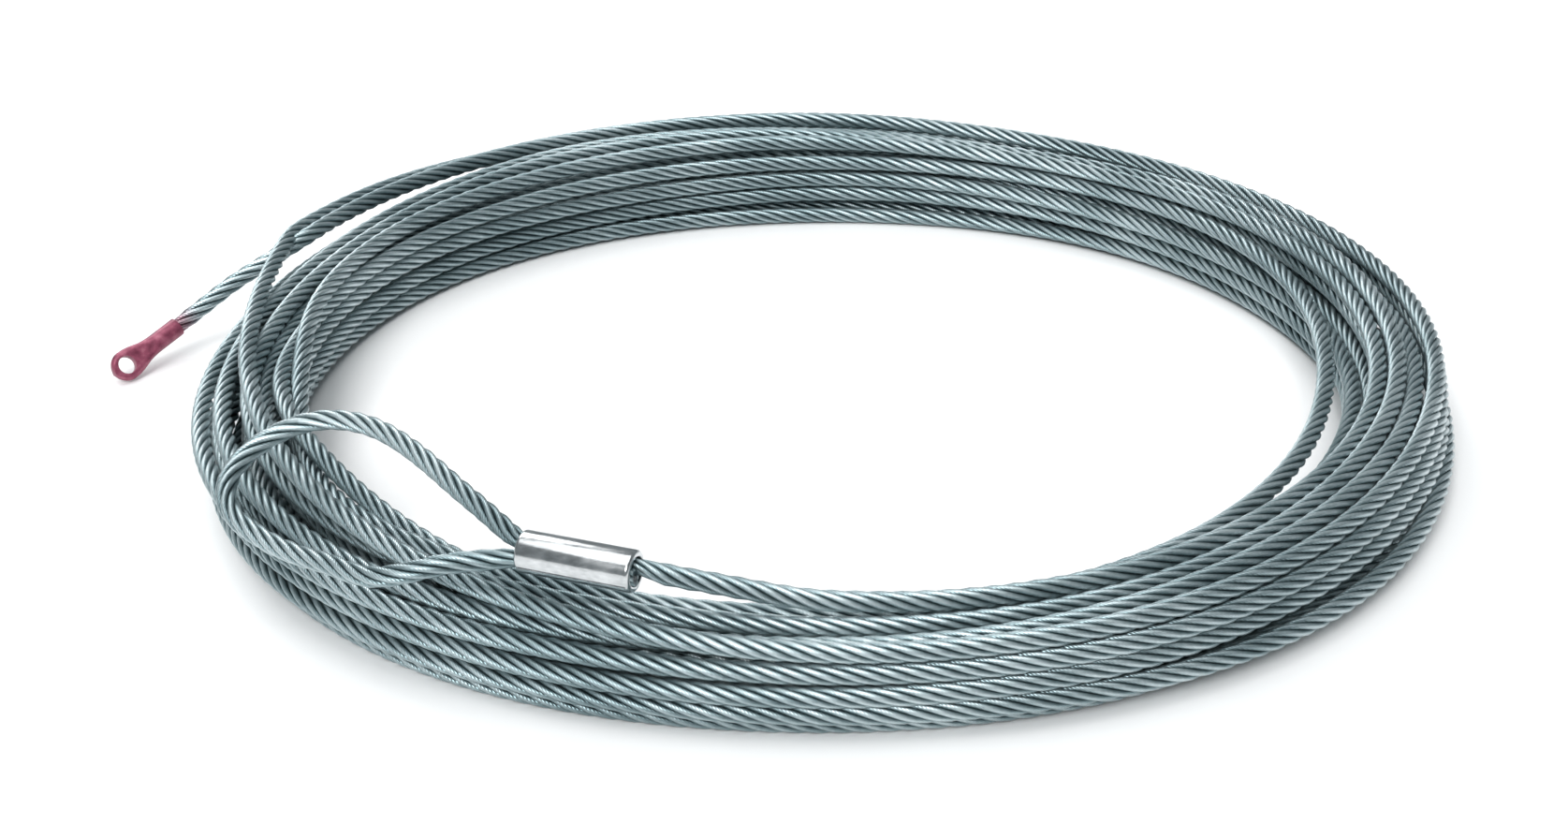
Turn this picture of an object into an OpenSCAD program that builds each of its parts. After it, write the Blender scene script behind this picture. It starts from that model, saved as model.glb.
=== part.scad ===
// Hand-coiled winch wire rope: a coil of loose turns, a bare soft eye closed by a
// pressed ferrule at the hook end, and a small crimped ring terminal at the drum end.
// Millimetres. +Z is up and the rope lies on the plane Z = 0. The origin is the bottom
// centre of the whole object's box.

/* [Rope] */
// Diameter of the six-strand steel wire rope
rope_d = 8; // [6:0.1:10]
// Length along the rope in which a strand goes once round
lay_length = 50; // [36:1:70]

/* [Coil] */
// Radius of the middle of the coiled turns
coil_r = 250; // [200:1:310]
// Width of the heap of turns, measured along a radius
heap_w = 52; // [40:1:64]
// Height of the heap of turns
heap_h = 50; // [40:1:62]
// Radius of the heap's rounded shoulders
shoulder_r = 12; // [9:0.5:15]

/* [Eye] */
// Angle by which the plane of the eye leans up towards the middle of the coil
eye_tilt = 25; // [18:1:32]
// Angle by which the eye droops from the ferrule to its crown
eye_droop = 3; // [1:0.5:5]

/* [Ferrule] */
// Length of the ferrule
ferrule_l = 44; // [36:1:54]
// Wall of the ferrule after pressing
ferrule_wall = 2.35; // [1.8:0.05:3]
// Bore of the pressed ferrule as a multiple of the rope's diameter
ferrule_fill = 1.35; // [1.25:0.01:1.45]
// Size of the edge break on each end of the ferrule
ferrule_chamfer = 1; // [0.5:0.1:1.6]
// Gap between the live run and the dead end inside the ferrule
run_gap = 0.2; // [0.1:0.05:0.4]

/* [Drum terminal] */
// Diameter of the screw hole in the drum terminal
hole_d = 8.4; // [6:0.1:10]
// Width of metal beside the screw hole
rim_w = 2.9; // [2:0.1:4]
// Thickness of the flattened palm
palm_t = 4.4; // [3.4:0.1:5.6]
// Distance from the mouth of the shank to the centre of the screw hole
hole_reach = 31; // [28:0.5:38]
// Length of the round shank
shank_l = 13; // [10:0.5:15]
// Wall of the round shank
shank_wall = 1; // [0.8:0.1:1.6]
// Amount by which crimping reduces the rope inside the shank
crimp_squeeze = 1.2; // [0.8:0.1:1.6]

/* [Hidden] */
$fn = 96;

galvanised = "#9fb0b4";
bright_metal = "#d3d8da";
maroon = "#8b3f57";

tube_sides = 12;
rope_r = rope_d / 2;
heap_outer_r = coil_r + heap_w / 2;
seat_clear = 0.2;
rest_gap = 0.6;
strand_gap = 0.02;
palm_blend = 0.3;
ferrule_bore_d = ferrule_fill * rope_d;
ferrule_d = ferrule_bore_d + 2 * ferrule_wall;

// A place on the coil: azimuth, distance out from the middle of the turns, height
function on_coil(az, out, z) = [(coil_r + out) * cos(az), (coil_r + out) * sin(az), z];
// The same, with the azimuth given by a length of arc past a starting azimuth
function past(start, arc, out, z) = on_coil(start + arc / coil_r * 180 / PI, out, z);
function unit(v) = v / norm(v);
function heading_vector(heading, pitch) =
    [cos(heading) * cos(pitch), sin(heading) * cos(pitch), sin(pitch)];

// The ferrule lies on top of the heap. Its X runs from the eye to the lead, and its Y
// points to the run that leads into the coil.
ferrule_heading = -21;
ferrule_mouth = on_coil(-116.2, -2, heap_h + ferrule_d / 2);
ferrule_x = heading_vector(ferrule_heading, 0);
ferrule_y = [-sin(ferrule_heading) * cos(eye_tilt),
             cos(ferrule_heading) * cos(eye_tilt), sin(eye_tilt)];
run_centre = ferrule_bore_d / 2 - 0.8 * rope_r;
leg_offset = rope_r + run_gap / 2;

// The eye lies in a leaning plane through the ferrule's mouth. Its outline is given as
// [distance from the mouth, distance across], with the inner leg on the plus side.
eye_heading = 153;
eye_x = heading_vector(eye_heading, -eye_droop);
eye_level = [sin(eye_heading), -cos(eye_heading), 0];
eye_y = unit(cos(eye_tilt) * eye_level + [0, 0, sin(eye_tilt)]
             + sin(eye_tilt) * sin(eye_droop) * eye_x);
eye_outline = [[10, 7], [24, 14], [39, 21], [55, 29], [71, 36], [87, 41], [102, 42],
               [115, 39], [126, 31], [133, 20], [135, 8], [131, -2], [122, -10],
               [110, -15], [96, -19], [82, -22], [67, -25], [54, -28], [43, -28],
               [33, -25], [24, -18], [16, -11], [8, -6]];
eye_points = concat(
    [ferrule_mouth + leg_offset * ferrule_y],
    [for (p = eye_outline) resting(ferrule_mouth + p[0] * eye_x + p[1] * eye_y)],
    [ferrule_mouth - leg_offset * ferrule_y]);
// Lifts a point of a rope run that would sink into the heap until it rests on it
function resting(p) =
    let (over = max(0, abs(norm([p[0], p[1]]) - coil_r) - heap_w / 2 + shoulder_r),
         reach = shoulder_r + rope_r + rest_gap,
         rise = over < reach ? sqrt(reach * reach - over * over) : -heap_h)
    [p[0], p[1], max(p[2], heap_h - shoulder_r + rise)];

// The lead leaves the ferrule, runs along the top of the heap and dips into it. Its last
// stretch is straight and lies in a channel in the coil's solid.
ferrule_end = ferrule_mouth + ferrule_l * ferrule_x;
lead_az = atan2(ferrule_end[1], ferrule_end[0]);
lead_surface = past(lead_az, 17.5, -7, heap_h + rope_r + 0.5);
lead_buried = past(lead_az, 59, -12, heap_h - rope_r);
lead_points = [ferrule_end + run_centre * ferrule_y,
               past(lead_az, 9, -4.5, heap_h + rope_r + 2.5),
               lead_surface,
               (lead_surface + lead_buried) / 2,
               lead_buried];

// The drum terminal stands on its edge on the ground, its palm turned by terminal_roll
terminal_heading = -132;
terminal_pitch = 18;
terminal_roll = -55;
palm_r = hole_d / 2 + rim_w;
palm_up = cos(terminal_roll) * cos(terminal_pitch);
hole_z = palm_r * sqrt(1 - palm_up * palm_up) + palm_t / 2 * palm_up;
hole_az = 172;
hole_centre = on_coil(hole_az, 71.5, hole_z);
terminal_x = heading_vector(terminal_heading, -terminal_pitch);
shank_mouth = hole_centre - hole_reach * terminal_x;

// The tail leaves the top of the heap in a straight channel and comes down to the
// terminal
tail_top = heap_h - rope_r;
tail_drop = tail_top - shank_mouth[2];
tail_buried = past(hole_az, -67.6, 14, tail_top);
tail_free = past(hole_az, -38.8, 38.5, tail_top - 0.54 * tail_drop);
tail_points = [tail_buried, (tail_buried + tail_free) / 2, tail_free,
               past(hole_az, -31, 45, tail_top - 0.72 * tail_drop), shank_mouth];

// The whole object is shifted so that its box is centred on the origin
terminal_tip_x = hole_centre[0] - palm_r * sqrt(1 - pow(palm_normal()[0], 2))
                 - palm_t / 2 * palm_normal()[0];
coil_x = -(heap_outer_r + terminal_tip_x) / 2;
function palm_normal() =
    let (c = cos(terminal_roll), s = sin(terminal_roll))
    [c * sin(terminal_pitch) * cos(terminal_heading) + s * sin(terminal_heading),
     c * sin(terminal_pitch) * sin(terminal_heading) - s * cos(terminal_heading),
     palm_up];

// Places what is modelled about the coil's own centre
module in_place() {
    translate([coil_x, 0, 0]) children();
}

// Frame with X along a heading and pitch, turned by roll about that X
module aimed(at, roll, pitch, heading) {
    translate(at) rotate([roll, pitch, heading]) children();
}

// A rod of radius r from one point towards another, of length l
module rod(from, towards, r, l) {
    d = unit(towards - from);
    translate(from)
        rotate([0, acos(d[2]), atan2(d[1], d[0])])
            cylinder(r = r, h = l);
}

// Directions of the route at each of its points; the two ends are given
function route_directions(p, first, last) = [
    for (i = [0 : len(p) - 1])
        i == 0 ? first : i == len(p) - 1 ? last : unit(p[i + 1] - p[i - 1])];

// One ring of n points about c, square to the direction d; its first point lies level
function tube_ring(c, d, r, n) =
    let (side = unit(cross(d, [0, 0, 1])), up = cross(side, d))
    [for (k = [0 : n - 1]) c + r * (cos(360 * k / n) * side + sin(360 * k / n) * up)];

// A tube of radius r and n sides swept through the points p as one closed solid
module tube(p, first, last, r, n) {
    d = route_directions(p, first, last);
    rings = [for (i = [0 : len(p) - 1]) each tube_ring(p[i], d[i], r, n)];
    near_end = [for (k = [0 : n - 1]) k];
    far_end = [for (k = [n - 1 : -1 : 0]) (len(p) - 1) * n + k];
    walls = [for (i = [0 : len(p) - 2], k = [0 : n - 1])
        [i * n + k, (i + 1) * n + k, (i + 1) * n + (k + 1) % n, i * n + (k + 1) % n]];
    polyhedron(points = rings, faces = concat([near_end, far_end], walls));
}

// A run of whole rope
module rope_run(p, first, last) {
    tube(p, first, last, rope_r, tube_sides);
}

// Section of the heap of turns: a rounded rectangle that stands on the ground
module heap_section() {
    translate([coil_r - heap_w / 2, shoulder_r])
        square([heap_w, heap_h - 2 * shoulder_r]);
    translate([coil_r - heap_w / 2 + shoulder_r, 0])
        square([heap_w - 2 * shoulder_r, heap_h]);
    for (side = [-1, 1], z = [shoulder_r, heap_h - shoulder_r])
        translate([coil_r + side * (heap_w / 2 - shoulder_r), z])
            circle(r = shoulder_r);
}

// All coiled turns as one solid of their outer shape, with a channel for each end run
module rope_coil() {
    channel_l = heap_w * 1.6;
    color(galvanised) in_place() difference() {
        rotate_extrude() heap_section();
        rod(lead_buried, lead_surface, rope_r + seat_clear, channel_l);
        rod(tail_buried, tail_free, rope_r + seat_clear, channel_l);
    }
}

// Run from the ferrule into the coil
module rope_lead() {
    color(galvanised) in_place()
        rope_run(lead_points, ferrule_x, unit(lead_buried - lead_surface));
}

// Soft eye: one bare loop of rope from the ferrule's mouth and back to it
module rope_eye() {
    color(galvanised) in_place() rope_run(eye_points, -ferrule_x, ferrule_x);
}

// Free tail from the coil to the drum terminal
module rope_tail() {
    color(galvanised) in_place()
        rope_run(tail_points, unit(tail_free - tail_buried), terminal_x);
}

// Pressed sleeve round both rope runs, with broken edges
module eye_ferrule() {
    outer_r = ferrule_d / 2;
    bore_r = ferrule_bore_d / 2;
    c = ferrule_chamfer;
    color(bright_metal) in_place() aimed(ferrule_mouth, eye_tilt, 0, ferrule_heading)
        rotate([0, 90, 0]) rotate_extrude()
            polygon([[bore_r, 0], [outer_r - c, 0], [outer_r, c],
                     [outer_r, ferrule_l - c], [outer_r - c, ferrule_l],
                     [bore_r, ferrule_l]]);
}

// Half of the ferrule's filling: side is 1 for the live run and -1 for the dead end
module pressed_run(side) {
    color(galvanised) in_place() aimed(ferrule_mouth, eye_tilt, 0, ferrule_heading)
        intersection() {
            rotate([0, 90, 0]) cylinder(d = ferrule_bore_d, h = ferrule_l);
            translate([0, side > 0 ? run_gap / 2 : -rope_d - run_gap / 2, -rope_d])
                cube([ferrule_l, rope_d, 2 * rope_d]);
        }
}

module live_run_in_ferrule() {
    pressed_run(1);
}

module dead_end_in_ferrule() {
    pressed_run(-1);
}

// Outline of the flattened palm: the ring round the hole, drawn in to a root that the
// round shank holds whole
module palm_outline(root_r) {
    lean = asin((palm_r - root_r) / (hole_reach - shank_l));
    translate([shank_l, 0]) circle(r = root_r);
    translate([hole_reach, 0]) circle(r = palm_r);
    polygon([for (end = [[shank_l, root_r, 1], [hole_reach, palm_r, 1],
                         [hole_reach, palm_r, -1], [shank_l, root_r, -1]])
        [end[0] - end[1] * sin(lean), end[2] * end[1] * cos(lean)]]);
}

// Crimped ring terminal: round shank, tapered neck and flattened palm with a screw hole
module drum_terminal() {
    bore_r = (rope_d - crimp_squeeze) / 2;
    shank_r = bore_r + shank_wall;
    root_r = sqrt(shank_r * shank_r - palm_t * palm_t / 4) - palm_blend;
    neck_l = (hole_reach - shank_l - hole_d / 2) * 0.8;
    color(maroon) in_place()
        aimed(shank_mouth, terminal_roll, terminal_pitch, terminal_heading)
            difference() {
                union() {
                    rotate([0, 90, 0]) cylinder(r = shank_r, h = shank_l);
                    translate([shank_l, 0, 0]) rotate([0, 90, 0])
                        cylinder(r1 = shank_r, r2 = palm_t / 2 - palm_blend, h = neck_l);
                    translate([0, 0, -palm_t / 2])
                        linear_extrude(palm_t) palm_outline(root_r);
                }
                translate([-1, 0, 0]) rotate([0, 90, 0])
                    cylinder(r = bore_r, h = shank_l + 1);
                translate([hole_reach, 0, -palm_t])
                    cylinder(d = hole_d, h = 2 * palm_t);
            }
}

// Strands of the rope's end inside the shank; each is a third of the crimped rope wide
module in_shank() {
    color(galvanised) in_place()
        aimed(shank_mouth, terminal_roll, terminal_pitch, terminal_heading) children();
}

module tail_core_strand() {
    strand_r = (rope_d - crimp_squeeze) / 6 - strand_gap;
    in_shank() rotate([0, 90, 0]) cylinder(r = strand_r, h = shank_l, $fn = 24);
}

// The outer strands go on winding round the core, right-handed, at the rope's own lay
module tail_outer_strands() {
    pitch_r = (rope_d - crimp_squeeze) / 3;
    strand_r = pitch_r / 2 - strand_gap;
    steps = 6;
    turn = 360 * shank_l / lay_length;
    along = [1, 0, 0];
    in_shank() for (k = [0 : 5])
        tube([for (i = [0 : steps]) let (a = 60 * k + turn * i / steps)
                  [shank_l * i / steps, pitch_r * cos(a), pitch_r * sin(a)]],
             along, along, strand_r, 10);
}

rope_coil();
rope_lead();
rope_eye();
rope_tail();
eye_ferrule();
live_run_in_ferrule();
dead_end_in_ferrule();
drum_terminal();
tail_core_strand();
tail_outer_strands();
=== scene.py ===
"""Looks of a hand-coiled winch wire rope: six strands round a core, laid in a coil, with
a pressed ferrule that closes its soft eye and a crimped ring terminal on its tail."""

import math

import bpy
import numpy as np
from mathutils import Matrix, Vector


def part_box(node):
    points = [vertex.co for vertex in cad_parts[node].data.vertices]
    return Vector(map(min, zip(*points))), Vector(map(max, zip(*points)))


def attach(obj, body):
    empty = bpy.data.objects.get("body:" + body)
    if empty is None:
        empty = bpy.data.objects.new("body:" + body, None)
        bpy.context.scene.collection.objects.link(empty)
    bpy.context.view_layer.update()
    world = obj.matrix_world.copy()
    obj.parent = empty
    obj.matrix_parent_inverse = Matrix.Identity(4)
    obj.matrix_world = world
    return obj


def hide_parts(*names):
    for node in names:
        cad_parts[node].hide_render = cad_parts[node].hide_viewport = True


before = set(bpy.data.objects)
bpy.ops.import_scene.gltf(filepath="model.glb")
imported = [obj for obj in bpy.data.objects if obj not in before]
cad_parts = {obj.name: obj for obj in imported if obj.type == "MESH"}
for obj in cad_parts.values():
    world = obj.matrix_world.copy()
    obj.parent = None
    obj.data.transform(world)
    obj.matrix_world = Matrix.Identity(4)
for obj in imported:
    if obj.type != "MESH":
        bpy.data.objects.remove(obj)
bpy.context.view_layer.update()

# ---- Camera ----
# It looks down on the coil from the side that the eye and its ferrule lie on, and is
# turned a little about its own axis.
CAMERA_ELEVATION = math.radians(26.2)
CAMERA_DISTANCE = 1.0912
CAMERA_ROLL = -0.008
CAMERA_LENS = 56.55
SENSOR_W = 36
CLIP_NEAR = 0.02
CLIP_FAR = 20
AIM_X = -0.01686
AIM_Y = -0.00223

scene = bpy.context.scene
coil_low, coil_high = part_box("rope_coil")
CENTRE = np.array([(coil_low.x + coil_high.x) / 2, (coil_low.y + coil_high.y) / 2, 0.0])
away = Vector((0, -math.cos(CAMERA_ELEVATION), math.sin(CAMERA_ELEVATION)))
aim = Vector((CENTRE[0] + AIM_X, AIM_Y, 0))
camera = bpy.data.objects.new("camera", bpy.data.cameras.new("camera"))
scene.collection.objects.link(camera)
camera.location = aim + CAMERA_DISTANCE * away
camera.rotation_euler = (-away).to_track_quat("-Z", "Y").to_euler()
camera.rotation_euler.rotate_axis("Z", CAMERA_ROLL)
camera.data.lens = CAMERA_LENS
camera.data.sensor_width = SENSOR_W
camera.data.clip_start = CLIP_NEAR
camera.data.clip_end = CLIP_FAR
scene.camera = camera

# ---- Rope ----
# A steel winch rope: six strands of zinc-coated wires, wound right-handed round a core
# strand. It is bent back on itself in a bare soft eye, coiled by hand into loose turns,
# and ends in a short free tail.
MM = 0.001
ROPE_D = 8.0
ROPE_R = ROPE_D / 2
COIL_R = 250.0
HEAP_H = coil_high.z / MM
HEAP_W = 2 * ((coil_high.x - coil_low.x) / 2 / MM - COIL_R)
SHOULDER_R = 12.0
FERRULE_L = 44.0
FERRULE_BORE_R = 5.4
FERRULE_R = 7.75
REST_GAP = 0.6
DEAD_END_PAST = 0.6


def on_coil(az, out, z):
    """A place on the coil: azimuth, distance out from the middle of the turns, height."""
    a = math.radians(az)
    return np.array([(COIL_R + out) * math.cos(a), (COIL_R + out) * math.sin(a), z])


def past(start, arc, out, z):
    """The same, with the azimuth given by a length of arc past a starting azimuth."""
    return on_coil(start + math.degrees(arc / COIL_R), out, z)


def heading_vector(heading, pitch):
    h, p = math.radians(heading), math.radians(pitch)
    return np.array([math.cos(h) * math.cos(p), math.sin(h) * math.cos(p), math.sin(p)])


def unit(v):
    return v / np.linalg.norm(v)


# The dead end starts in the ferrule's far face, goes back through the ferrule, round the
# eye, through the ferrule again and along the lead into the coil. Lengths here are in
# millimetres about the coil's centre, as in the part's own source.
FERRULE_AZ = -116.2
FERRULE_OUT = -2
FERRULE_HEADING = -21
EYE_HEADING = 153
EYE_DROOP = 3
EYE_TILT = 25
tilt, droop = math.radians(EYE_TILT), math.radians(EYE_DROOP)
eye_angle, ferrule_angle = math.radians(EYE_HEADING), math.radians(FERRULE_HEADING)
ferrule_mouth = on_coil(FERRULE_AZ, FERRULE_OUT, HEAP_H + FERRULE_R)
ferrule_x = heading_vector(FERRULE_HEADING, 0)
ferrule_y = np.array([-math.sin(ferrule_angle) * math.cos(tilt),
                      math.cos(ferrule_angle) * math.cos(tilt), math.sin(tilt)])
ferrule_z = np.cross(ferrule_x, ferrule_y)
ferrule_end = ferrule_mouth + FERRULE_L * ferrule_x
eye_x = heading_vector(EYE_HEADING, -EYE_DROOP)
eye_level = np.array([math.sin(eye_angle), -math.cos(eye_angle), 0.0])
eye_y = unit(math.cos(tilt) * eye_level + np.array([0, 0, math.sin(tilt)])
             + math.sin(tilt) * math.sin(droop) * eye_x)
# Middle of the eye's rope: distance along the eye from the ferrule, and distance across
EYE_OUTLINE = [(10, 7), (24, 14), (39, 21), (55, 29), (71, 36), (87, 41), (102, 42),
               (115, 39), (126, 31), (133, 20), (135, 8), (131, -2), (122, -10),
               (110, -15), (96, -19), (82, -22), (67, -25), (54, -28), (43, -28),
               (33, -25), (24, -18), (16, -11), (8, -6)]


def resting(p):
    """Lifts a point of a rope run that would sink into the heap until it rests on it."""
    over = max(0.0, abs(math.hypot(p[0], p[1]) - COIL_R) - HEAP_W / 2 + SHOULDER_R)
    reach = SHOULDER_R + ROPE_R + REST_GAP
    rise = math.sqrt(reach * reach - over * over) if over < reach else -HEAP_H
    return np.array([p[0], p[1], max(p[2], HEAP_H - SHOULDER_R + rise)])


# Inside the ferrule each run is pressed to a half round, so the runs lie closer there
PRESSED_OFFSET = 2.7
PRESSED_SHARE = 0.62
quarters = [FERRULE_L * k / 4 for k in range(5)]
eye_run = [resting(ferrule_mouth + a * eye_x + b * eye_y) for a, b in reversed(EYE_OUTLINE)]
dead_run = [ferrule_mouth + x * ferrule_x - PRESSED_OFFSET * ferrule_y
            for x in (FERRULE_L + DEAD_END_PAST, *quarters[3::-1])]
live_run = [ferrule_mouth + x * ferrule_x + PRESSED_OFFSET * ferrule_y for x in quarters]
# Points of the lead: arc past the ferrule, distance out, height over the heap's top
LEAD = [(9, -4.5, 6.5), (17.5, -7, 4.5), (38, -9.7, 0.5), (59, -12, -ROPE_R)]
lead_az = math.degrees(math.atan2(ferrule_end[1], ferrule_end[0]))
*lead_run, coil_start = (past(lead_az, arc, out, HEAP_H + lift) for arc, out, lift in LEAD)

# The tail falls from the coil to the terminal, whose palm rests on its lower edge
HOLE_D = 8.4
HOLE_AZ = 172
HOLE_OUT = 71.5
RIM_W = 2.9
PALM_T = 4.4
HOLE_REACH = 31.0
SHANK_L = 13.0
SHANK_BORE_R = 3.4
SHANK_R = 4.4
TERMINAL_HEADING = -132
TERMINAL_PITCH = 18
TERMINAL_ROLL = -55
# Points of the tail: arc past the hole, distance out, share of the fall
TAIL = [(-67.6, 14, 0.0), (-38.8, 38.5, 0.54), (-31, 45, 0.72)]
palm_r = HOLE_D / 2 + RIM_W
palm_up = math.cos(math.radians(TERMINAL_ROLL)) * math.cos(math.radians(TERMINAL_PITCH))
hole_z = palm_r * math.sqrt(1 - palm_up * palm_up) + PALM_T / 2 * palm_up
terminal_x = heading_vector(TERMINAL_HEADING, -TERMINAL_PITCH)
shank_mouth = on_coil(HOLE_AZ, HOLE_OUT, hole_z) - HOLE_REACH * terminal_x
tail_top = HEAP_H - ROPE_R
tail_fall = tail_top - shank_mouth[2]
coil_end, tail_free, tail_low = (past(HOLE_AZ, arc, out, tail_top - share * tail_fall)
                                 for arc, out, share in TAIL)
tail_run = [(coil_end + tail_free) / 2, tail_free, tail_low, shank_mouth,
            shank_mouth + 0.5 * SHANK_L * terminal_x, shank_mouth + SHANK_L * terminal_x]

# The turns lie loosely on and beside each other. Each takes the place that the one
# before it had a turn earlier, wanders a little, and is pushed off its neighbours.
FULL_TURNS = 18
STATIONS = 72
STEP = 360 / STATIONS
# Where each turn starts in the heap: distance out, height
SLOTS = [(-12, 46), (-20, 39), (-22, 30), (-22, 20), (-20, 11), (-13, 4), (-7, 13),
         (-11, 24), (-9, 34), (-3, 43), (6, 38), (3, 29), (2, 18), (4, 7), (14, 5),
         (21, 12), (22, 22), (22, 32), (19, 41)]
# Where a twentieth turn would lie, which the rope's end only sets out towards
LAST_SLOT = (11.75, 47.5)
# Shape of the heap round the coil: azimuth, shift outwards, width share, height share
HEAP_SHAPE = [(-165, -2, 0.9, 1.0), (-140, 0, 0.92, 0.98), (-115, -6, 0.78, 0.9),
              (-95, -12, 0.66, 0.8), (-80, -8, 0.7, 0.76), (-60, -3, 0.82, 0.84),
              (-37, -4, 0.92, 0.92), (-15, -6, 0.95, 0.93), (0, -4, 0.98, 0.93),
              (30, 3, 0.9, 0.9), (60, 4, 0.82, 0.86), (90, 4, 0.96, 1.04),
              (120, 5, 0.95, 1.03), (145, 2, 0.82, 1.0), (166, -8, 0.58, 1.0),
              (180, -8, 0.7, 0.98)]
# Turns that stray: turn, azimuth of the middle, half span, distance out, distance up
STRAYS = [(4, 92, 42, -7, -7), (5, 92, 42, -4, 0), (1, -5, 38, -16, 3), (1, 45, 28, 9, 6),
          (2, -3, 34, 10, 0), (3, -3, 34, 10, 0), (4, -3, 34, 9, 0), (5, -3, 34, 6, 0),
          (0, -12, 34, 5, 0), (15, -30, 42, 6, -3), (17, -30, 36, -4, 2),
          (16, -30, 36, -5, 2), (18, -30, 36, -6, 2), (17, 203, 60, -26, 8),
          (9, 200, 60, 11, -4), (10, 200, 60, 12, -3), (0, 200, 50, 0, -4),
          (10, 88, 48, 8, 8), (10, -50, 40, 4, 8), (9, 20, 36, -5, 5), (8, 110, 40, -3, 3),
          (7, 95, 48, 0, 4), (14, 160, 22, -10, 4), (15, 160, 22, -12, 4),
          (16, 160, 22, -10, 5), (17, 147, 27, 13, 6), (18, 140, 34, 7, 3),
          (16, 122, 26, 5, 3), (9, 125, 26, 5, 2)]
# How the turns wander: wavelength in turns, and amount
WANDER = [(0.21, 1.5), (0.34, 1.7), (0.57, 1.7), (0.93, 1.4)]
WANDER_SEED = 11
SWAY = 1.3
SWAY_WAVELENGTHS = 7.3
SWAY_PHASES = 6
# The pushing off goes in rounds. In each a turn is drawn back to its place, made smoother
# and pushed off its neighbours, and in the last rounds it is only smoothed and pushed.
ROUNDS = 260
SETTLED = 0.93
SPRING = 0.04
SMOOTHING = 0.22
LATE_SMOOTHING = 0.3
PUSH = 0.8
TAIL_CLEAR = 1.15 * ROPE_D
TOP_SLACK = 0.4
TINY = 1e-6

start_az = math.degrees(math.atan2(coil_start[1], coil_start[0]))
end_az = math.degrees(math.atan2(coil_end[1], coil_end[0]))
turns = FULL_TURNS + ((end_az - start_az) % 360) / 360
count = int(round(turns * STATIONS)) + 1
azimuth = start_az + np.linspace(0, turns * 360, count)
turn = (azimuth - start_az) / 360
slots = np.array(SLOTS + [LAST_SLOT], float)


def smooth_row(rows, at):
    """Catmull-Rom through rows, where at counts rows from the first."""
    i = np.clip(np.floor(at).astype(int), 0, len(rows) - 2)
    t = (at - i)[:, None]
    p = np.vstack([2 * rows[0] - rows[1], rows, 2 * rows[-1] - rows[-2]])
    a, b, c, d = p[i], p[i + 1], p[i + 2], p[i + 3]
    return 0.5 * (2 * b + (c - a) * t + (2 * a - 5 * b + 4 * c - d) * t ** 2
                  + (3 * b - a - 3 * c + d) * t ** 3)


target = smooth_row(slots, turn)
shape = np.array(HEAP_SHAPE, float)
wrapped = np.vstack([shape[-1] - [360, 0, 0, 0], shape, shape[0] + [360, 0, 0, 0]])
local_az = (azimuth + 180) % 360 - 180
shift, wide, tall = (np.interp(local_az, wrapped[:, 0], wrapped[:, k]) for k in (1, 2, 3))
rng = np.random.default_rng(WANDER_SEED)
for wavelength, amount in WANDER:
    for axis in (0, 1):
        phase = rng.uniform(0, 2 * math.pi)
        drift = 2 * math.pi * turn / wavelength + phase
        sway = 2 * math.pi * turn / (wavelength * SWAY_WAVELENGTHS)
        drift += SWAY * np.sin(sway + rng.uniform(0, SWAY_PHASES))
        target[:, axis] += amount * np.sin(drift)
for number, middle, half, out, up in STRAYS:
    centre = number + ((middle - start_az) % 360) / 360
    near = np.clip(1 - np.abs(turn - centre) * 360 / half, 0, 1)
    bump = near * near * (3 - 2 * near)
    target[:, 0] += out * bump
    target[:, 1] += up * bump
target[:, 0] = target[:, 0] * wide + shift
target[:, 1] = ROPE_R + (target[:, 1] - ROPE_R) * tall
target[0] = (math.hypot(coil_start[0], coil_start[1]) - COIL_R, coil_start[2])
target[-1] = (math.hypot(coil_end[0], coil_end[1]) - COIL_R, coil_end[2])

# The tail passes over the outer turns; these are places that the turns keep clear of
blocks = []
for p in tail_run[:3]:
    at = math.degrees(math.atan2(p[1], p[0]))
    blocks.append((int(round((at - start_az) / STEP)) % STATIONS,
                   math.hypot(p[0], p[1]) - COIL_R, p[2]))
columns = [[k for k in range(count) if k % STATIONS == s] for s in range(STATIONS)]
most = max(len(c) for c in columns)
table = np.full((STATIONS, most), -1)
for s, c in enumerate(columns):
    table[s, : len(c)] = c
filled = table >= 0
pairs = filled[:, :, None] & filled[:, None, :] & ~np.eye(most, dtype=bool)[None]
place = target.copy()
for step in range(ROUNDS):
    late = step > ROUNDS * SETTLED
    if not late:
        place += SPRING * (target - place)
    share = SMOOTHING * (LATE_SMOOTHING if late else 1.0)
    place[1:-1] += share * (place[:-2] + place[2:] - 2 * place[1:-1])
    here = place[np.where(filled, table, 0)]
    apart = here[:, :, None, :] - here[:, None, :, :]
    gap = np.linalg.norm(apart, axis=-1)
    push = np.where(pairs & (gap < ROPE_D), ROPE_D - gap, 0)
    move = (apart / np.maximum(gap, TINY)[..., None] * (0.5 * push)[..., None]).sum(2)
    place[table[filled]] += PUSH * move[filled]
    for station, out, z in blocks:
        rows = table[station][filled[station]]
        delta = place[rows] - (out, z)
        far = np.linalg.norm(delta, axis=1)
        near = np.clip(TAIL_CLEAR - far, 0, None)
        place[rows] += delta / far[:, None] * near[:, None]
    place[:, 1] = np.maximum(place[:, 1], ROPE_R)
    place[:, 1] = np.minimum(place[:, 1], HEAP_H - ROPE_R + TOP_SLACK)
    place[0], place[-1] = target[0], target[-1]
angle = np.radians(azimuth)
radius = COIL_R + place[:, 0]
coil_run = np.column_stack([radius * np.cos(angle), radius * np.sin(angle), place[:, 1]])

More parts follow.
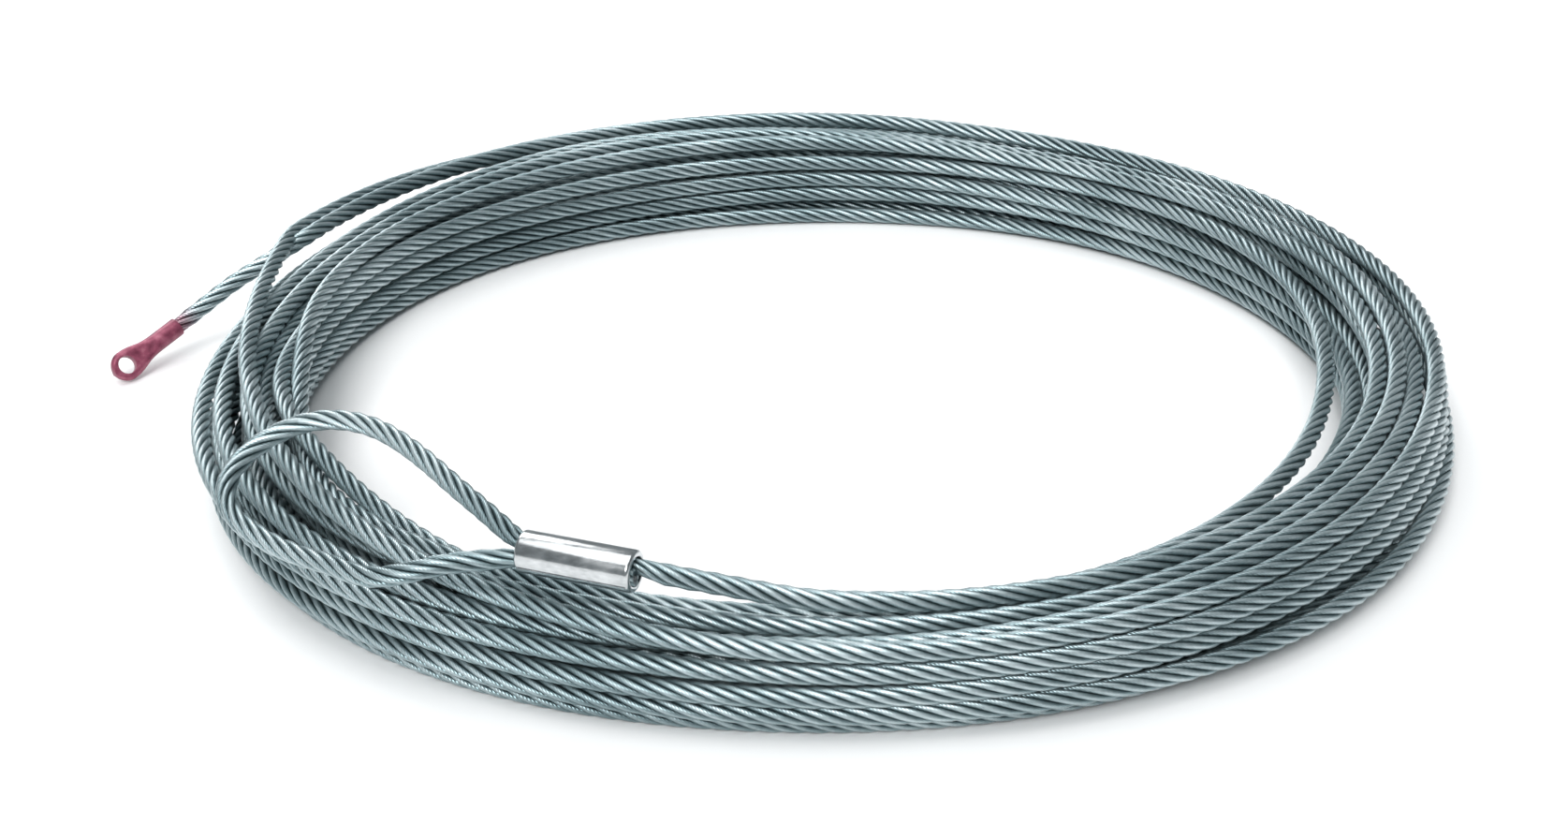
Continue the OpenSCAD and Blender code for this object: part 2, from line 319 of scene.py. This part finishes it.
# Each strand is one long tube. The rope is squeezed where the ferrule and the terminal's
# shank grip it, and tinted maroon over its last stretch before the terminal's shank.
LAY = 50.0
RINGS_PER_LAY = 12
STRANDS = 6
STRAND_R = ROPE_R / 3
STRAND_OUT = ROPE_R * 2 / 3
STRAND_SIDES = 8
CORE_SIDES = 6
CORE_EVERY = 3
CURVE_STEPS = 12
LINE_SMOOTHING = 0.25
LINE_ROUNDS = 3
FERRULE_REACH = 12
NEAR_FERRULE = 9.0
NEAR_SHANK = 5.0
TINT_REACH = 14.0


def through(points):
    """Catmull-Rom through the route's points, as close rows of points."""
    p = np.array(points)
    p = np.vstack([2 * p[0] - p[1], p, 2 * p[-1] - p[-2]])
    rows = []
    for i in range(1, len(p) - 2):
        a, b, c, d = p[i - 1 : i + 3]
        knots = [np.linalg.norm(q) ** 0.5 for q in (b - a, c - b, d - c)]
        t0, t1, t2, t3 = 0, knots[0], knots[0] + knots[1], sum(knots)
        t = np.linspace(t1, t2, CURVE_STEPS, endpoint=False)[:, None]
        a1 = (t1 - t) / (t1 - t0) * a + (t - t0) / (t1 - t0) * b
        a2 = (t2 - t) / (t2 - t1) * b + (t - t1) / (t2 - t1) * c
        a3 = (t3 - t) / (t3 - t2) * c + (t - t2) / (t3 - t2) * d
        b1 = (t2 - t) / (t2 - t0) * a1 + (t - t0) / (t2 - t0) * a2
        b2 = (t3 - t) / (t3 - t1) * a2 + (t - t1) / (t3 - t1) * a3
        rows.append((t2 - t) / (t2 - t1) * b1 + (t - t1) / (t2 - t1) * b2)
    return np.vstack(rows + [p[-2][None]])


def evenly(line, step):
    """The line again, with its points a step apart."""
    along = np.concatenate([[0], np.cumsum(np.linalg.norm(np.diff(line, axis=0), axis=1))])
    steps = int(round(along[-1] / step))
    at = np.linspace(0, along[-1], steps + 1)
    return np.column_stack([np.interp(at, along, line[:, k]) for k in range(3)]), at


route = through(dead_run + eye_run + live_run + lead_run + list(coil_run) + tail_run)
line, along = evenly(route, LAY / RINGS_PER_LAY)
for _ in range(LINE_ROUNDS):
    line[1:-1] += LINE_SMOOTHING * (line[:-2] + line[2:] - 2 * line[1:-1])

forward = np.gradient(line, axis=0)
forward /= np.linalg.norm(forward, axis=1)[:, None]
side = np.cross(forward, [0.0, 0.0, 1.0])
side /= np.linalg.norm(side, axis=1)[:, None]
upward = np.cross(side, forward)


def eased(x):
    x = np.clip(x, 0, 1)
    return x * x * (3 - 2 * x)


# How far each point is pressed by the ferrule, how far by the shank, and how far tinted
# maroon
local = line - ferrule_mouth
inward = local @ ferrule_x
off_axis = np.linalg.norm(local - inward[:, None] * ferrule_x, axis=1)
beyond = np.maximum(-inward, inward - FERRULE_L)
pressed = eased(1 - beyond / NEAR_FERRULE) * (off_axis < FERRULE_REACH)
press_share = 1 - (1 - PRESSED_SHARE) * pressed
to_mouth = along[-1] - SHANK_L - along
crimp = 1 - (1 - SHANK_BORE_R / ROPE_R) * eased(1 - to_mouth / NEAR_SHANK)
maroon_tint = eased(1 - to_mouth / TINT_REACH)


def swept(name, offsets, tube_r, rows, sides, wires):
    """A tube along the rope's line, its axis moved by offsets, with UVs for its wires."""
    turn_angle = 2 * np.pi * np.arange(sides) / sides
    across, over = offsets
    # The tube's ring turns with its strand, so that a side of it always faces outwards
    heading = np.arctan2(over, across)[:, None] + turn_angle[None]
    x = (across[:, None] + tube_r * np.cos(heading)) * crimp[rows][:, None]
    z = (over[:, None] + tube_r * np.sin(heading)) * crimp[rows][:, None]
    ring = (line[rows][:, None] + x[..., None] * side[rows][:, None]
            + z[..., None] * upward[rows][:, None])
    sideways = ((ring - line[rows][:, None]) @ ferrule_y)[..., None]
    ring = ring - sideways * (1 - press_share[rows])[:, None, None] * ferrule_y
    vertices = (ring.reshape(-1, 3) + CENTRE / MM) * MM
    n = len(rows)
    first = np.arange(n - 1)[:, None] * sides + np.arange(sides)[None]
    next_side = np.arange(n - 1)[:, None] * sides + (np.arange(sides)[None] + 1) % sides
    quads = np.stack([first, next_side, next_side + sides, first + sides], -1).reshape(-1, 4)
    ends = [list(range(sides - 1, -1, -1)), [(n - 1) * sides + k for k in range(sides)]]
    mesh = bpy.data.meshes.new(name)
    mesh.from_pydata(vertices.tolist(), [], quads.tolist() + ends)
    piece = bpy.data.objects.new(name, mesh)
    scene.collection.objects.link(piece)
    mesh.polygons.foreach_set("use_smooth", [True] * len(quads) + [False] * 2)
    uv = np.zeros((len(mesh.loops), 2))
    u0 = np.tile(np.arange(sides) / sides, n - 1)
    v0 = np.repeat(along[rows][:-1], sides) * MM
    v1 = np.repeat(along[rows][1:], sides) * MM
    step_u = 1 / sides
    quad_uv = np.stack([np.stack([u0, v0], -1), np.stack([u0 + step_u, v0], -1),
                        np.stack([u0 + step_u, v1], -1), np.stack([u0, v1], -1)], 1)
    uv[: len(quads) * 4] = quad_uv.reshape(-1, 2)
    layer = mesh.uv_layers.new(name="wires")
    layer.data.foreach_set("uv", uv.ravel())
    facing = mesh.attributes.new("facing", "FLOAT", "POINT")
    # Painted light share: outer strands get a painted highlight on their outward side and
    # painted shade on their inward side; the core, inside the rope, is painted fully in shade
    out_share = np.cos(turn_angle) if wires else -np.ones(sides)
    facing.data.foreach_set("value", np.tile(out_share, n).astype(np.float32))
    coated = mesh.attributes.new("coated", "FLOAT", "POINT")
    coated.data.foreach_set("value", np.repeat(maroon_tint[rows], sides).astype(np.float32))
    mesh.validate()
    return piece


every = np.arange(len(line))
strands = []
for k in range(STRANDS):
    phase = 2 * np.pi * (k / STRANDS - along / LAY)
    offset = (STRAND_OUT * np.cos(phase), STRAND_OUT * np.sin(phase))
    name = f"outer_strand_{k + 1}"
    strands.append(swept(name, offset, STRAND_R, every, STRAND_SIDES, True))
core_rows = np.unique(np.append(every[::CORE_EVERY], every[-1]))
none = np.zeros(len(core_rows))
core = swept("core_strand", (none, none), STRAND_R, core_rows, CORE_SIDES, False)


class Socket:
    """A shader value that can be added, multiplied and so on like a number."""

    def __init__(self, graph, output):
        self.graph = graph
        self.output = output

    def maths(self, operation, *values):
        return self.graph.node("Math", 0, {"operation": operation}, dict(enumerate(values)))

    def __add__(self, other):
        return self.maths("ADD", self, other)

    def __radd__(self, other):
        return self.maths("ADD", other, self)

    def __sub__(self, other):
        return self.maths("SUBTRACT", self, other)

    def __rsub__(self, other):
        return self.maths("SUBTRACT", other, self)

    def __mul__(self, other):
        return self.maths("MULTIPLY", self, other)

    def __rmul__(self, other):
        return self.maths("MULTIPLY", other, self)

    def __pow__(self, other):
        return self.maths("POWER", self, other)

    def __abs__(self):
        return self.maths("ABSOLUTE", self)

    def sine(self):
        return self.maths("SINE", self)

    def clamped(self):
        return self.maths("MINIMUM", self.maths("MAXIMUM", self, 0.0), 1.0)


class Graph:
    """The nodes of one material, round its Principled shader."""

    def __init__(self, name):
        self.material = bpy.data.materials.new(name)
        self.material.use_nodes = True
        self.tree = self.material.node_tree
        self.shader = self.tree.nodes["Principled BSDF"]

    def plug(self, value, slot):
        if isinstance(value, Socket):
            self.tree.links.new(value.output, slot)
        else:
            slot.default_value = value

    def node(self, kind, output, settings, sockets):
        """One node: its settings, or a ramp's stops, are set first, then its sockets."""
        made = self.tree.nodes.new("ShaderNode" + kind)
        for field, value in settings.items():
            if field != "stops":
                setattr(made, field, value)
                continue
            elements = made.color_ramp.elements
            while len(elements) < len(value):
                elements.new(0.5)
            for element, (at, colour) in zip(elements, value):
                element.position = at
                element.color = (*colour, 1)
        for socket, value in sockets.items():
            self.plug(value, made.inputs[socket])
        return Socket(self, made.outputs[output])

    def noise(self, where, scale, detail):
        """How strong a cloudy pattern is at each place."""
        sockets = {"Vector": where, "Scale": scale, "Detail": detail}
        return self.node("TexNoise", "Fac", {}, sockets)

    def bumped(self, height, depth, strength):
        """The surface's normal, with a relief of this depth in metres."""
        sockets = {"Height": height, "Distance": depth, "Strength": strength}
        return self.node("Bump", "Normal", {}, sockets)

    def finish(self, **inputs):
        for name, value in inputs.items():
            self.plug(value, self.shader.inputs[name.replace("_", " ")])
        return self.material


WIRES = 12
WIRE_LAY = 0.026
WIRE_DEPTH = 0.00012
# Colour ramp from painted shade in the grooves to a painted highlight on the crowns
GROOVE_SHADE = (0.010, 0.019, 0.023)
SHADE = (0.055, 0.09, 0.10)
ZINC = (0.25, 0.33, 0.35)
CROWN_HIGHLIGHT = (0.72, 0.81, 0.83)
MAROON_TINT = (0.25, 0.06, 0.10, 1)
TINT_SHARE = 0.75


def galvanised_rope():
    """Zinc-coated wires, blue-grey, with painted shade on the strands' inward sides in the
    grooves and a painted highlight on their crowns.
    """
    g = Graph("galvanised_rope")
    wires = g.node("UVMap", "UV", {"uv_map": "wires"}, {})
    around = g.node("SeparateXYZ", "X", {}, {"Vector": wires})
    lengthwise = g.node("SeparateXYZ", "Y", {}, {"Vector": wires})
    facing = g.node("Attribute", "Fac", {"attribute_name": "facing"}, {})
    coated = g.node("Attribute", "Fac", {"attribute_name": "coated"}, {})
    where = g.node("TexCoord", "Object", {}, {})
    wave = around * (WIRES * math.pi) + lengthwise * (math.pi * WIRES / WIRE_LAY)
    wire = abs(wave.sine()) ** 0.6
    painted_side_light = (0.5 * facing + 0.5).clamped()
    stretch = g.noise(where, 9.0, 1.0)
    patch = g.noise(where, 38.0, 3.0)
    speck = g.noise(where, 900.0, 2.0)
    # Painted highlight on the strands' crowns and the wires' ridges, painted shade on the
    # strands' inward sides, and the zinc's tone varies in random patches
    light = 0.64 * painted_side_light + 0.14 * wire + 0.5 * stretch + 0.3 * patch + 0.14 * speck - 0.37
    stops = [(0.0, GROOVE_SHADE), (0.35, SHADE), (0.7, ZINC), (1.0, CROWN_HIGHLIGHT)]
    zinc = g.node("ValToRGB", 0, {"stops": stops}, {0: light.clamped()})
    # The rope is tinted maroon towards the terminal
    colour = g.node("Mix", 2, {"data_type": "RGBA"},
                    {0: coated * TINT_SHARE, 6: zinc, 7: MAROON_TINT})
    return g.finish(Base_Color=colour, Metallic=0.85, Roughness=0.2 * speck + 0.24,
                    Normal=g.bumped(wire, WIRE_DEPTH, 0.6))


def dress(piece, material, slot_name, *nodes):
    """Gives a piece its material and body, and takes the place of CAD nodes. Its slot_name is
    not used.
    """
    piece.data.materials.clear()
    piece.data.materials.append(material)
    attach(piece, "root")
    if nodes:
        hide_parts(*nodes)


rope_look = galvanised_rope()
dress(strands[0], rope_look, "galvanised_rope", "rope_coil", "rope_lead", "rope_eye",
      "rope_tail", "live_run_in_ferrule", "dead_end_in_ferrule", "tail_outer_strands")
for piece in strands[1:]:
    dress(piece, rope_look, "galvanised_rope")
dress(core, rope_look, "galvanised_rope", "tail_core_strand")

# ---- Ferrule ----
# A plain metal sleeve slid over both runs of the rope and pressed in a two-part die. The
# die rounds its ends and leaves a low ridge of flash along each side.
FERRULE_SIDES = 72
FERRULE_EDGE = 1.3
FERRULE_EDGE_STEPS = 5
BORE_EDGE = 0.3
BORE_SIDES = 64
EDGE_STEPS = 2
SHARP = math.radians(60)
ROUND = math.radians(50)
FLASH_H = 0.3
FLASH_AT = 0.995 * FERRULE_R
LEVEL = 0.1
DIE_MARKS = (60, 900, 900)
MARK_DEPTH = 0.00012
DULL = (0.45, 0.47, 0.48)
BRIGHT = (0.76, 0.78, 0.79)


def shaping(piece, mode="FACE"):
    """Opens a piece for shaping, with nothing on it picked yet."""
    bpy.ops.object.mode_set(mode="OBJECT")
    bpy.ops.object.select_all(action="DESELECT")
    piece.select_set(True)
    bpy.context.view_layer.objects.active = piece
    bpy.ops.object.mode_set(mode="EDIT")
    bpy.ops.mesh.select_mode(type=mode)
    bpy.ops.mesh.select_all(action="DESELECT")


def pick(piece, group, test):
    """Picks the vertices, edges or faces that pass a test, and nothing else."""
    bpy.ops.mesh.select_all(action="DESELECT")
    bpy.ops.object.mode_set(mode="OBJECT")
    for element in getattr(piece.data, group):
        element.select = test(element)
    bpy.ops.object.mode_set(mode="EDIT")


def finished(piece, *modifiers):
    """Leaves edit mode, and applies modifiers given as a kind and its settings."""
    bpy.ops.object.mode_set(mode="OBJECT")
    bpy.ops.object.select_all(action="DESELECT")
    piece.select_set(True)
    bpy.context.view_layer.objects.active = piece
    for kind, settings in modifiers:
        modifier = piece.modifiers.new(kind.lower(), kind)
        for field, value in settings.items():
            setattr(modifier, field, value)
        bpy.ops.object.modifier_apply(modifier=modifier.name)


def placed(piece, at, x_axis, y_axis, z_axis):
    """Turns and moves a piece to its place, and keeps the place in its mesh."""
    finished(piece)
    turned = Matrix([x_axis, y_axis, z_axis]).transposed().to_4x4()
    piece.matrix_world = Matrix.Translation(Vector((at + CENTRE / MM) * MM)) @ turned
    bpy.ops.object.transform_apply(location=True, rotation=True, scale=True)


def bored(piece, x, depth, r, upright):
    """Cuts a round hole about the middle of a piece's section at x."""
    bpy.ops.object.mode_set(mode="OBJECT")
    bpy.ops.object.select_all(action="DESELECT")
    bpy.ops.mesh.primitive_cylinder_add(vertices=BORE_SIDES, radius=r * MM, depth=depth * MM,
                                        location=(0, 0, x * MM),
                                        rotation=(math.pi / 2 if upright else 0, 0, 0))
    drill = bpy.context.object
    finished(piece, ("BOOLEAN", {"operation": "DIFFERENCE", "object": drill}))
    bpy.data.objects.remove(drill)


def pressed_ferrule():
    """Made along Z, with the flash on its X sides."""
    bpy.ops.object.select_all(action="DESELECT")
    bpy.ops.mesh.primitive_cylinder_add(vertices=FERRULE_SIDES, radius=FERRULE_R * MM,
                                        depth=FERRULE_L * MM)
    piece = bpy.context.object
    piece.name = piece.data.name = "pressed_ferrule"
    finished(piece, ("BEVEL", {"width": FERRULE_EDGE * MM, "segments": FERRULE_EDGE_STEPS,
                               "angle_limit": SHARP}))
    bored(piece, 0, 2 * FERRULE_L, FERRULE_BORE_R, False)
    finished(piece, ("BEVEL", {"width": BORE_EDGE * MM, "segments": EDGE_STEPS,
                               "angle_limit": SHARP}))
    shaping(piece)
    for way in (1, -1):
        pick(piece, "polygons", lambda face: face.center.x * way > FLASH_AT * MM
             and abs(face.center.z) < LEVEL * MM)
        bpy.ops.mesh.extrude_region_move(
            TRANSFORM_OT_translate={"value": (way * FLASH_H * MM, 0, 0)})
    finished(piece)
    bpy.ops.object.shade_smooth_by_angle(angle=ROUND)
    placed(piece, ferrule_mouth + FERRULE_L / 2 * ferrule_x, ferrule_y, ferrule_z, ferrule_x)
    return piece


def pressed_metal():
    """Bare pressed metal: satin, with fine marks drawn along it by the die."""
    g = Graph("pressed_metal")
    where = g.node("TexCoord", "Object", {}, {})
    lined_up = {"Vector": where, "Rotation": (0, 0, -ferrule_angle), "Scale": DIE_MARKS}
    marks = g.noise(g.node("Mapping", "Vector", {}, lined_up), 1.0, 4.0)
    patch = g.noise(where, 120.0, 3.0)
    colour = g.node("ValToRGB", 0, {"stops": [(0.3, DULL), (0.7, BRIGHT)]},
                    {0: 0.5 * marks + 0.5 * patch})
    return g.finish(Base_Color=colour, Metallic=1.0, Roughness=0.2 * patch + 0.1,
                    Normal=g.bumped(marks + patch, MARK_DEPTH, 0.3))


ferrule = pressed_ferrule()
dress(ferrule, pressed_metal(), "pressed_metal", "eye_ferrule")

# ---- Drum terminal ----
# A small ring terminal, coated maroon: a round shank crimped on the rope's end, pressed
# flat into a palm with a screw hole that fixes the rope to the winch's drum.
TERMINAL_SIDES = 40
roll = math.radians(TERMINAL_ROLL)
pitch = math.radians(TERMINAL_PITCH)
heading = math.radians(TERMINAL_HEADING)
palm_normal = np.array([
    math.cos(roll) * math.sin(pitch) * math.cos(heading) + math.sin(roll) * math.sin(heading),
    math.cos(roll) * math.sin(pitch) * math.sin(heading) - math.sin(roll) * math.cos(heading),
    math.cos(roll) * math.cos(pitch)])
palm_side = np.cross(palm_normal, terminal_x)
PALM_HALF = PALM_T / 2
FULLNESS = 1.45
# Each step of pressing: distance along, half width, half thickness
PRESSED = [(SHANK_L + 2, 4.45, 3.8), (SHANK_L + 4.5, 4.6, 3.0), (SHANK_L + 7, 5.0, 2.45),
           (SHANK_L + 9.5, 5.7, PALM_HALF), (SHANK_L + 12, 6.4, PALM_HALF),
           (SHANK_L + 15, 6.95, PALM_HALF)]
TIP_STEPS = 12
TIP_BLUNT = 0.2
TERMINAL_EDGE = 0.35
SHANK_BORE_STOP = 0.2
CREASE = math.radians(40)
DEEP_MAROON = (0.16, 0.03, 0.06)
MAROON = (0.30, 0.07, 0.12)
WORN_MAROON = (0.46, 0.17, 0.23)
COAT_DEPTH = 0.0002


def ring_terminal():
    """Made along Z, with the palm facing Y."""
    steps = list(PRESSED)
    for k in range(TIP_STEPS):
        a = math.pi / 2 * (1 - (k + TIP_BLUNT) / TIP_STEPS)
        steps.append((HOLE_REACH + palm_r * math.cos(a), palm_r * math.sin(a), PALM_HALF))
    bpy.ops.object.select_all(action="DESELECT")
    bpy.ops.mesh.primitive_cylinder_add(vertices=TERMINAL_SIDES, radius=SHANK_R * MM,
                                        depth=SHANK_L * MM, location=(0, 0, SHANK_L / 2 * MM))
    piece = bpy.context.object
    piece.name = piece.data.name = "ring_terminal"
    bpy.ops.object.transform_apply(location=True, rotation=True, scale=True)
    shaping(piece)
    pick(piece, "polygons", lambda face: face.normal.z > 0.999)
    was_x, was_w, was_t = SHANK_L, SHANK_R, SHANK_R
    for x, w, t in steps:
        full = min(t * FULLNESS, SHANK_R, max(w, t))
        bpy.ops.mesh.extrude_region_move(
            TRANSFORM_OT_translate={"value": (0, 0, (x - was_x) * MM)})
        bpy.ops.transform.resize(value=(w / was_w, full / was_t, 1),
                                 center_override=(0, 0, x * MM))
        was_x, was_w, was_t = x, w, full
    for x, w, t in steps:
        for way in (1, -1):
            bpy.ops.mesh.select_mode(type="VERT")
            pick(piece, "vertices",
                 lambda v: abs(v.co.z - x * MM) < TINY and v.co.y * way > t * MM)
            bpy.ops.transform.resize(value=(1, 0, 1), center_override=(0, way * t * MM, 0))
    finished(piece)
    bored(piece, HOLE_REACH, 4 * PALM_T, HOLE_D / 2, True)
    bored(piece, 0, 2 * (SHANK_L - SHANK_BORE_STOP), SHANK_BORE_R, False)
    finished(piece, ("BEVEL", {"width": TERMINAL_EDGE * MM, "segments": EDGE_STEPS,
                               "angle_limit": CREASE}))
    bpy.ops.object.shade_smooth_by_angle(angle=CREASE)
    placed(piece, shank_mouth, palm_side, palm_normal, terminal_x)
    return piece


def maroon_coated():
    """A thin maroon coating on metal, worn lighter in patches."""
    g = Graph("maroon_coated")
    patch = g.noise(g.node("TexCoord", "Object", {}, {}), 260.0, 4.0)
    stops = [(0.3, DEEP_MAROON), (0.55, MAROON), (0.8, WORN_MAROON)]
    colour = g.node("ValToRGB", 0, {"stops": stops}, {0: patch})
    return g.finish(Base_Color=colour, Metallic=0.35, Roughness=0.3 * patch + 0.25,
                    Normal=g.bumped(patch, COAT_DEPTH, 0.3))


terminal = ring_terminal()
dress(terminal, maroon_coated(), "maroon_coated", "drum_terminal")

# ---- Floor, light and background ----
# Matt white paper under a broad soft ceiling of light. A narrower light in front reaches
# the coil's inner face, and a weaker one behind edges the turns.
FLOOR_SIZE = 12
PAPER = (0.93, 0.93, 0.93, 1)
SKY = (0.80, 0.88, 0.92, 1)
SKY_STRENGTH = 0.28
bpy.ops.mesh.primitive_plane_add(size=FLOOR_SIZE, location=(0, 0, 0))
floor = bpy.context.object
floor.name = "floor"
paper = Graph("paper")
paper.finish(Base_Color=PAPER, Roughness=0.85)
floor.data.materials.append(paper.material)

world = bpy.data.worlds.new("world")
scene.world = world
world.use_nodes = True
surround = world.node_tree.nodes["Background"].inputs
surround["Color"].default_value = SKY
surround["Strength"].default_value = SKY_STRENGTH


def sun_light(name, towards, spread, strength):
    """A broad even light from far away."""
    light = bpy.data.lights.new(name, "SUN")
    light.angle = math.radians(spread)
    light.energy = strength
    lamp = bpy.data.objects.new(name, light)
    scene.collection.objects.link(lamp)
    lamp.rotation_euler = Vector(towards).to_track_quat("-Z", "Y").to_euler()


sun_light("ceiling_light", (0.1, 0.1, -1.0), 60, 1.6)
sun_light("front_light", (0.25, 1.0, -0.85), 25, 2.0)
sun_light("back_light", (0.5, -0.9, -0.8), 30, 1.0)
scene.view_settings.view_transform = "Standard"
